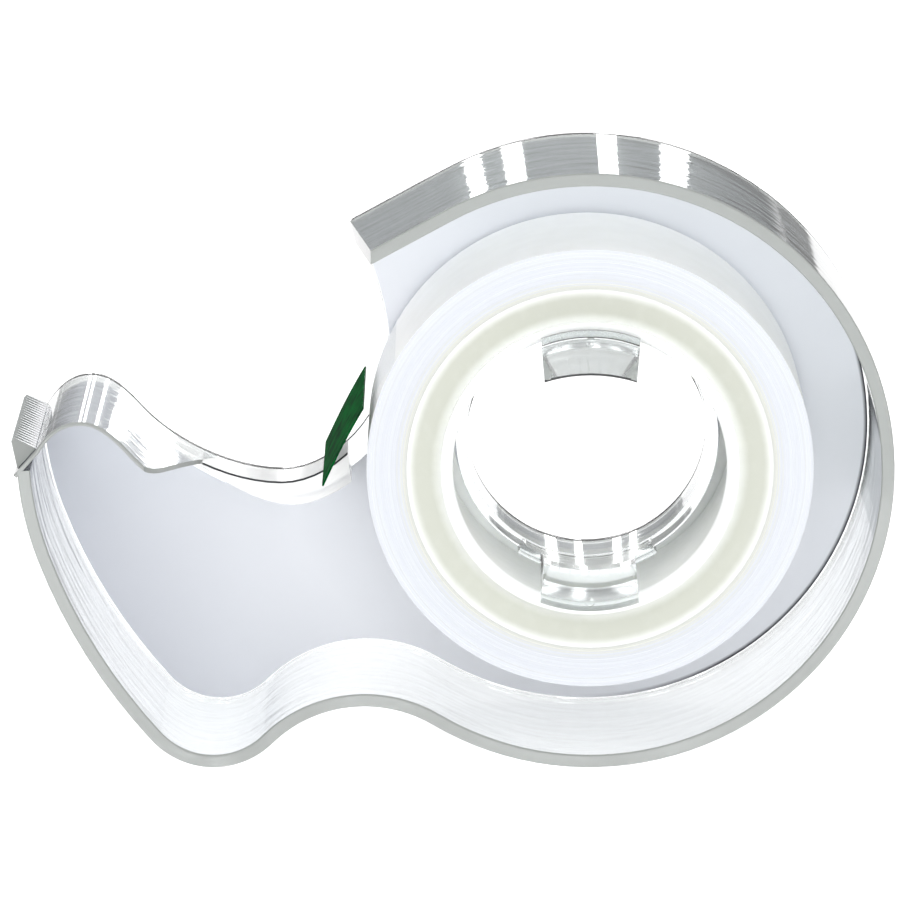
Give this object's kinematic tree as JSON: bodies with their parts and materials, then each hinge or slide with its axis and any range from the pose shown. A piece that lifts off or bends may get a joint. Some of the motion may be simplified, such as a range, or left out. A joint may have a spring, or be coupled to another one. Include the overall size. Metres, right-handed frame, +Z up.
{
  "type": "tape dispenser",
  "caption": "Hand-held clear plastic tape dispenser: open-sided snail shell with a toothed edge, a snap-in hub and a turning roll of tape with a green starter tab.",
  "frame": {"origin": "middle of the footprint, on the surface that the lower rim stands on", "axes": "+X from the toothed edge towards the drum, +Y from the open side towards the side plate, +Z up"},
  "size_m": [0.0816, 0.0222, 0.0562],
  "materials": {
    "clear_shell": "clear moulded polystyrene, polished",
    "frosted_shell": "the same clear moulding, with a faint haze over the flat side",
    "clear_teeth": "clear moulded teeth that look grey where they are cut",
    "cream_core": "smooth cream plastic",
    "tape_film": "wound matt tape, milky where the turns stack",
    "green_tab": "deep green film with a soft shine"
  },
  "bodies": {
    "dispenser": {"side_plate": "frosted_shell", "drum_wall": "clear_shell", "belly_wall": "clear_shell", "front_wall": "clear_shell", "tape_rest": "clear_shell", "thumb_rail": "clear_shell", "cutter_comb": "clear_teeth", "hub_ring": "clear_shell"},
    "tape_roll": {"tape_core": "cream_core", "tape_winding": "tape_film", "tape_lead": "tape_film", "starter_tab": "green_tab"},
    "upper_finger": {"snap_finger_upper": "clear_shell"},
    "lower_finger": {"snap_finger_lower": "clear_shell"}
  },
  "joints": [
    {"name": "roll_spin", "type": "hinge", "parent": "dispenser", "child": "tape_roll", "pos_m": [0.01275, 0, 0.0281], "axis": [0, 1, 0], "continuous": true},
    {"name": "upper_finger_flex", "type": "hinge", "parent": "dispenser", "child": "upper_finger", "pos_m": [0.01275, 0.004, 0.04], "axis": [1, 0, 0], "range_deg": [0, 5], "stiffness_Nm_per_rad": 0.5},
    {"name": "lower_finger_flex", "type": "hinge", "parent": "dispenser", "child": "lower_finger", "pos_m": [0.01275, 0.004, 0.0162], "axis": [-1, 0, 0], "range_deg": [0, 5], "stiffness_Nm_per_rad": 0.5}
  ]
}
